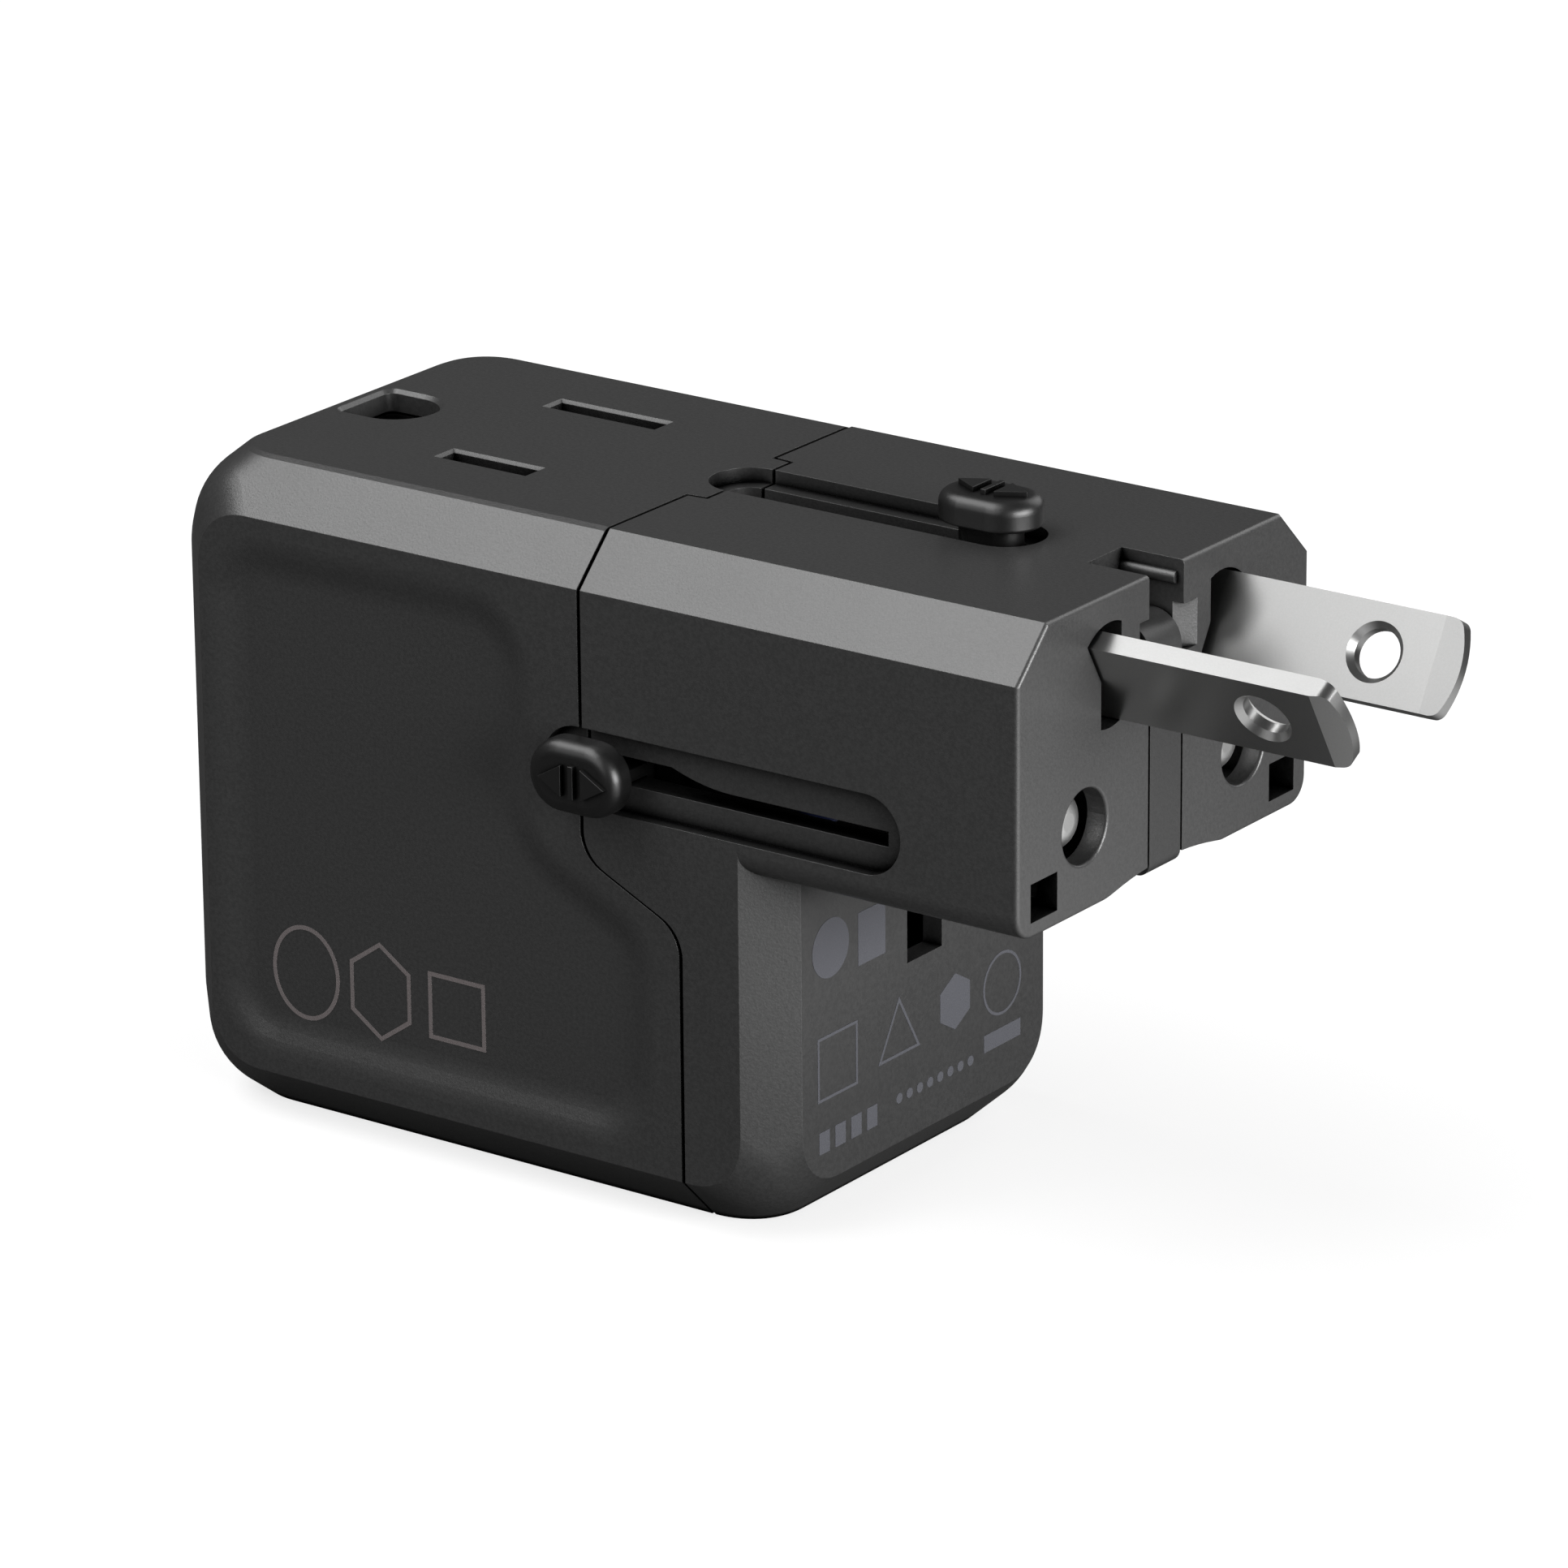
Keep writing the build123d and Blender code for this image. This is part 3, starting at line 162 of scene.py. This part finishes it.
def satin_metal(name, colour, roughness, grain, depth, stretch=(1, 1, 1)):
    """Metal with a fine directional grain and small changes of gloss."""
    made = material(name, colour, roughness, metallic=1.0)
    relief(made, noise(made, grain, 3, stretch), depth)
    dull, bright = [[c * share for c in colour] for share in (0.97, 1.02)]
    tint(made, noise(made, grain * 1.5, 2, stretch), dull, bright)
    gloss(made, noise(made, 5 * MM), roughness - 0.01, roughness + 0.01)
    return made


def glossy(name, low, high, size, roughness, coat=0.3, stretch=(1, 1, 1)):
    """Smooth varnished or wrapped surface with a pattern of two colours."""
    made = material(name, high, roughness, coat=coat)
    pattern = noise(made, size, 3, stretch)
    tint(made, pattern, low, high)
    relief(made, pattern, 0.02 * MM)
    return made


# The casing, knob, tongue and inner plastic all carry painted shade in their hollows and gaps.
finishes = {
    "casing": textured_plastic("casing_plastic", 0.036, 0.37, 0.15 * MM, 0.012 * MM, 0.06 * MM, 1.0),
    "knob": textured_plastic("knob_plastic", 0.004, 0.38, 0.1 * MM, 0.0015 * MM, 0.04 * MM, 0.8),
    "tongue": textured_plastic("tongue_plastic", 0.02, 0.42, 0.15 * MM, 0.012 * MM, 0.06 * MM, 1.0),
    "inner_plastic": textured_plastic("inner_plastic", 0.003, 0.6, 0.3 * MM, 0.01 * MM, 0.05 * MM, 0.1),
    "nickel": satin_metal("satin_nickel", (0.4, 0.4, 0.397), 0.3, 0.07 * MM, 0.0007 * MM),
    "contact_brass": satin_metal("contact_brass", (0.7, 0.47, 0.2), 0.3, 0.2 * MM, 0.003 * MM, (0.15, 1, 1)),
    "spring_steel": satin_metal("spring_steel", (0.56, 0.56, 0.57), 0.25, 0.2 * MM, 0.003 * MM, (0.2, 1, 1)),
    "insulation": glossy("fibre_sheet", (0.5, 0.48, 0.42), (0.7, 0.68, 0.62), 1.2 * MM, 0.7, 0),
    "board": glossy("solder_mask", (0.008, 0.09, 0.035), (0.02, 0.19, 0.08), 2.5 * MM, 0.3),
    "ferrite": glossy("ferrite", (0.03, 0.03, 0.033), (0.075, 0.073, 0.072), 0.5 * MM, 0.65, 0),
    "winding_tape": glossy("winding_tape", (0.6, 0.42, 0.03), (0.82, 0.62, 0.08), 4 * MM, 0.3, 0.3, (1, 1, 4)),
    "capacitor_sleeve": glossy("capacitor_sleeve", (0.01, 0.014, 0.05), (0.02, 0.03, 0.1), 5 * MM, 0.35),
    "ceramic": glossy("ceramic", (0.72, 0.7, 0.64), (0.82, 0.8, 0.75), 1.5 * MM, 0.3),
}
# The round pins get a lighter copy of the nickel: painted highlight that makes their tips shine.
pin_nickel_painted_highlight = satin_metal("pin_nickel_painted_highlight", (0.62, 0.62, 0.615), 0.42, 0.07 * MM, 0.0007 * MM)
plating = satin_metal("gold_plating", (0.83, 0.6, 0.24), 0.25, 0.15 * MM, 0.002 * MM)
panel_ink = glossy("panel_ink", (0.16, 0.14, 0.14), (0.175, 0.155, 0.155), 0.1 * MM, 0.6, 0)
foot_ink = glossy("foot_ink", (0.072, 0.073, 0.084), (0.078, 0.08, 0.092), 0.1 * MM, 0.6, 0)

for subpart in frame["record"]["subparts"]:
    surface = frame["nodes"][subpart["node"]].data.materials
    surface.clear()
    # Round pins take the lighter nickel with its painted highlight.
    round_pin = subpart["node"] in ("eu_pin_front", "eu_pin_back")
    surface.append(pin_nickel_painted_highlight if round_pin else finishes[subpart["material_slot"]])


# ---- mesh helpers ----
def mesh_piece(name, body, surface, build, edge=0.0):
    """A piece whose mesh is filled in by build, riding on a body."""
    mesh = bmesh.new()
    build(mesh)
    bmesh.ops.recalc_face_normals(mesh, faces=mesh.faces)
    data = bpy.data.meshes.new(name)
    mesh.to_mesh(data)
    mesh.free()
    data.materials.append(surface)
    piece = bpy.data.objects.new(name, data)
    bpy.context.scene.collection.objects.link(piece)
    if edge:
        rounded = piece.modifiers.new("edge", "BEVEL")
        rounded.width = edge
        rounded.segments = 3
        rounded.limit_method = "ANGLE"
    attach(piece, body)
    return piece


def prism(mesh, outline, origin, across, along, height):
    """A flat-topped prism over an outline, standing on origin in the plane of across and along."""
    across, along = Vector(across), Vector(along)
    rise = across.cross(along).normalized() * height
    base = [mesh.verts.new(Vector(origin) + across * u + along * v) for u, v in outline]
    top = [mesh.verts.new(point.co + rise) for point in base]
    mesh.faces.new(base[::-1])
    mesh.faces.new(top)
    for i, point in enumerate(base):
        follower = (i + 1) % len(base)
        mesh.faces.new((point, base[follower], top[follower], top[i]))


def ring(mesh, outer, inner, origin, across, along, height):
    """A flat band between two outlines that have as many points as each other."""
    across, along = Vector(across), Vector(along)
    rise = across.cross(along).normalized() * height
    loops = []
    for outline in (outer, inner):
        low = [mesh.verts.new(Vector(origin) + across * u + along * v) for u, v in outline]
        loops += [low, [mesh.verts.new(point.co + rise) for point in low]]
    outer_low, outer_high, inner_low, inner_high = loops
    for i in range(len(outer)):
        j = (i + 1) % len(outer)
        for a, b in ((outer_low, outer_high), (outer_high, inner_high), (inner_high, inner_low)):
            mesh.faces.new((a[i], a[j], b[j], b[i]))
        mesh.faces.new((inner_low[i], inner_low[j], outer_low[j], outer_low[i]))


def regular(centre, size, sides, turn=0.0):
    """Outline of a regular polygon, stretched to a size."""
    angles = [turn + 2 * pi * i / sides for i in range(sides)]
    return [(centre[0] + size[0] / 2 * cos(a), centre[1] + size[1] / 2 * sin(a)) for a in angles]


def rectangle(centre, size):
    corners = ((-1, -1), (1, -1), (1, 1), (-1, 1))
    return [(centre[0] + u * size[0] / 2, centre[1] + v * size[1] / 2) for u, v in corners]


# ---- raised arrows and bar on the two knobs ----
ARROW_RISE = 0.36 * MM
SINK = 0.05 * MM  # how far the marks reach below the surface that they stand on


def slide_marks(mesh, origin, across, along):
    """A bar between two arrowheads that point both ways along the slide."""
    base, reach, half = 0.78 * MM, 1.85 * MM, 1.06 * MM
    outlines = [
        rectangle((0, 0), (0.38 * MM, 2.1 * half)),
        [(base, -half), (base + reach, 0), (base, half)],
        [(-base, half), (-base - reach, 0), (-base, -half)],
    ]
    for outline in outlines:
        prism(mesh, outline, origin, across, along, ARROW_RISE + SINK)


us_low, us_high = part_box("us_knob")
us_top = Vector(((us_low.x + us_high.x) / 2 + 0.1 * MM, 0, us_high.z - SINK))
mesh_piece(
    "us_knob_marks", "us_button", finishes["knob"],
    lambda mesh: slide_marks(mesh, us_top, (1, 0, 0), (0, 1, 0)), 0.04 * MM,
)
eu_low, eu_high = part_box("eu_knob")
eu_face = Vector(((eu_low.x + eu_high.x) / 2 + 0.3 * MM, eu_low.y + SINK, (eu_low.z + eu_high.z) / 2))
mesh_piece(
    "eu_knob_marks", "eu_button", finishes["knob"],
    lambda mesh: slide_marks(mesh, eu_face, (1, 0, 0), (0, 0, 1)), 0.04 * MM,
)

# ---- generic prints: outlined shapes on the front panel, small marks on the end of the foot ----
INK = 0.03 * MM
PANEL_DEPTH = 0.55 * MM
socket_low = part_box("socket_casing")[0]
FOOT_END = 15 * MM  # where the foot's end stands along X
PANEL_MARKS_HEIGHT = 10.7 * MM


def outlined(mesh, shapes, stroke, origin, across, along):
    """Printed outlines of regular polygons, each given by its centre and size in mm, its sides and its turn."""
    for centre, size, sides, turn in shapes:
        centre, size = [c * MM for c in centre], [s * MM for s in size]
        inner = [s - 2 * stroke / cos(pi / sides) for s in size]
        outlines = regular(centre, size, sides, turn), regular(centre, inner, sides, turn)
        ring(mesh, *outlines, origin, across, along, INK)


def panel_print(mesh):
    origin = (0, socket_low.y + PANEL_DEPTH + INK / 3, PANEL_MARKS_HEIGHT)
    shapes = (
        ((-23.4, 0), (5.6, 6.6), 48, 0),
        ((-17.2, 0), (5.8, 6.9), 6, pi / 2),
        ((-10.9, 0), (6.6, 6.6), 4, pi / 4),
    )
    outlined(mesh, shapes, 0.3 * MM, origin, (1, 0, 0), (0, 0, 1))


def foot_print(mesh):
    origin, across, along = (FOOT_END - INK / 3, 0, 0), (0, 1, 0), (0, 0, 1)
    solid = [
        regular((-10.4 * MM, 19.0 * MM), (4.0 * MM, 4.0 * MM), 40),
        rectangle((-5.9 * MM, 18.6 * MM), (3.0 * MM, 3.6 * MM)),
        regular((3.4 * MM, 11.0 * MM), (3.9 * MM, 3.9 * MM), 6, pi / 2),
        rectangle((8.8 * MM, 6.9 * MM), (4.2 * MM, 1.2 * MM)),
    ]
    solid += [rectangle(((-11.2 + 1.75 * i) * MM, 6.0 * MM), (1.15 * MM, 1.5 * MM)) for i in range(4)]
    solid += [regular(((-2.9 + 1.15 * i) * MM, 6.3 * MM), (0.7 * MM, 0.7 * MM), 20) for i in range(8)]
    for outline in solid:
        prism(mesh, outline, origin, across, along, INK)
    shapes = (
        ((-9.7, 11.0), (6.2, 6.2), 4, pi / 4),
        ((-2.9, 10.6), (5.4, 5.4), 3, pi / 2),
        ((8.8, 10.6), (4.4, 4.4), 40, 0),
    )
    outlined(mesh, shapes, 0.2 * MM, origin, across, along)


mesh_piece("front_panel_print", "housing", panel_ink, panel_print)
mesh_piece("foot_print", "housing", foot_ink, foot_print)


# ---- contacts in the USB ports ----
def usb_a_pads(mesh):
    low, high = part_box("usb_a_tongue")
    shell_low, shell_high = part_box("usb_a_shell")
    middle = (low.y + high.y) / 2
    height = (shell_low.z + shell_high.z) / 2 + 0.28 * MM
    for place in (-3.5, -1.0, 1.0, 3.5):
        outline = rectangle((low.x + 3.9 * MM, middle + place * MM), (5.6 * MM, 1.0 * MM))
        prism(mesh, outline, (0, 0, height), (1, 0, 0), (0, -1, 0), 0.12 * MM)


def usb_c_pads(mesh):
    low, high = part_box("usb_c_tongue")
    middle = Vector(((low.x + high.x) / 2, (low.y + high.y) / 2, (low.z + high.z) / 2))
    for row in (-1, 1):
        for i in range(12):
            outline = rectangle((low.x + 2.1 * MM, middle.y + (i - 5.5) * 0.5 * MM), (2.8 * MM, 0.26 * MM))
            prism(mesh, outline, (0, 0, middle.z + row * 0.34 * MM), (1, 0, 0), (0, row, 0), 0.05 * MM)


mesh_piece("usb_a_pads", "housing", plating, usb_a_pads, 0.03 * MM)
mesh_piece("usb_c_pads", "housing", plating, usb_c_pads)

# ---- stage: floor, lights and camera ----
bpy.ops.mesh.primitive_plane_add(size=12, location=(0, 0, -0.00005))
floor = bpy.context.object
floor.name = "floor"
floor_paint = material("floor_paint", grey(0.07), 0.9, specular=0.0)
floor.data.materials.append(floor_paint)


def brighter_to_camera(made, colour, glow):
    """The floor looks white to the camera, but throws less light back onto the object."""
    nodes, links = made.node_tree.nodes, made.node_tree.links
    paint = nodes.new("ShaderNodeBsdfDiffuse")
    paint.inputs["Color"].default_value = (*colour, 1)
    glowing = nodes.new("ShaderNodeEmission")
    glowing.inputs["Strength"].default_value = glow
    both, pick, ray = (
        nodes.new("ShaderNodeAddShader"), nodes.new("ShaderNodeMixShader"), nodes.new("ShaderNodeLightPath"),
    )
    links.new(paint.outputs["BSDF"], both.inputs[0])
    links.new(glowing.outputs["Emission"], both.inputs[1])
    links.new(ray.outputs["Is Camera Ray"], pick.inputs["Fac"])
    links.new(nodes["Principled BSDF"].outputs["BSDF"], pick.inputs[1])
    links.new(both.outputs["Shader"], pick.inputs[2])
    links.new(pick.outputs["Shader"], nodes["Material Output"].inputs["Surface"])


brighter_to_camera(floor_paint, grey(0.36), 0.74)


def glow_beside(made, centre, full, end, strength):
    """Light that comes off a round patch of the floor beside the object, and fades from full to end."""
    nodes, links = made.node_tree.nodes, made.node_tree.links
    place, away = nodes.new("ShaderNodeTexCoord"), nodes.new("ShaderNodeVectorMath")
    away.operation = "DISTANCE"
    away.inputs[1].default_value = centre
    spread, glowing, both = (
        nodes.new("ShaderNodeMapRange"), nodes.new("ShaderNodeEmission"), nodes.new("ShaderNodeAddShader"),
    )
    for name, value in (("From Min", full), ("From Max", end), ("To Min", strength), ("To Max", 0.0)):
        spread.inputs[name].default_value = value
    links.new(place.outputs["Object"], away.inputs[0])
    links.new(away.outputs["Value"], spread.inputs["Value"])
    links.new(spread.outputs["Result"], glowing.inputs["Strength"])
    links.new(nodes["Principled BSDF"].outputs["BSDF"], both.inputs[0])
    links.new(glowing.outputs["Emission"], both.inputs[1])
    pick = nodes["Material Output"].inputs["Surface"].links[0].from_node
    links.new(both.outputs["Shader"], pick.inputs[1])


glow_beside(floor_paint, (0.15, -0.01, 0), 0.08, 0.12, 1.0)

world = bpy.data.worlds.new("studio")
world.use_nodes = True
world.node_tree.nodes["Background"].inputs["Color"].default_value = (1, 1, 1, 1)
world.node_tree.nodes["Background"].inputs["Strength"].default_value = 0.09
bpy.context.scene.world = world


def soft_light(name, towards, distance, wide, high, power):
    """Area light that stands in one direction from the object and faces it."""
    lamp = bpy.data.lights.new(name, "AREA")
    lamp.shape = "RECTANGLE"
    lamp.size, lamp.size_y = wide, high
    lamp.energy = power
    light = bpy.data.objects.new(name, lamp)
    bpy.context.scene.collection.objects.link(light)
    direction = Vector(towards).normalized()
    light.location = Vector((0, 0, 0.03)) + direction * distance
    light.rotation_euler = direction.to_track_quat("Z", "Y").to_euler()


soft_light("key", (-0.43, -0.3, 0.84), 1.2, 1.1, 0.7, 9.3)
soft_light("front", (-0.2, -0.8, 0.5), 1.2, 0.9, 0.9, 3.8)
soft_light("side", (0.95, -0.08, 0.16), 1.2, 1.0, 0.6, 23)
soft_light("back", (0.15, 0.75, 0.42), 0.6, 0.4, 0.4, 0.8)
bpy.context.scene.view_settings.view_transform = "Standard"

camera = bpy.data.objects.new("camera", bpy.data.cameras.new("camera"))
camera.data.sensor_width = 36
camera.data.lens = 196.816
camera.data.clip_start = 0.01
right, up = Vector((0.810966, 0.58504, -0.007952)), Vector((-0.18989, 0.276028, 0.942205))
camera.matrix_world = Matrix.Translation((0.310829, -0.422893, 0.210449)) @ Matrix(
    (right, up, right.cross(up))
).transposed().to_4x4()
bpy.context.scene.collection.objects.link(camera)
bpy.context.scene.camera = camera
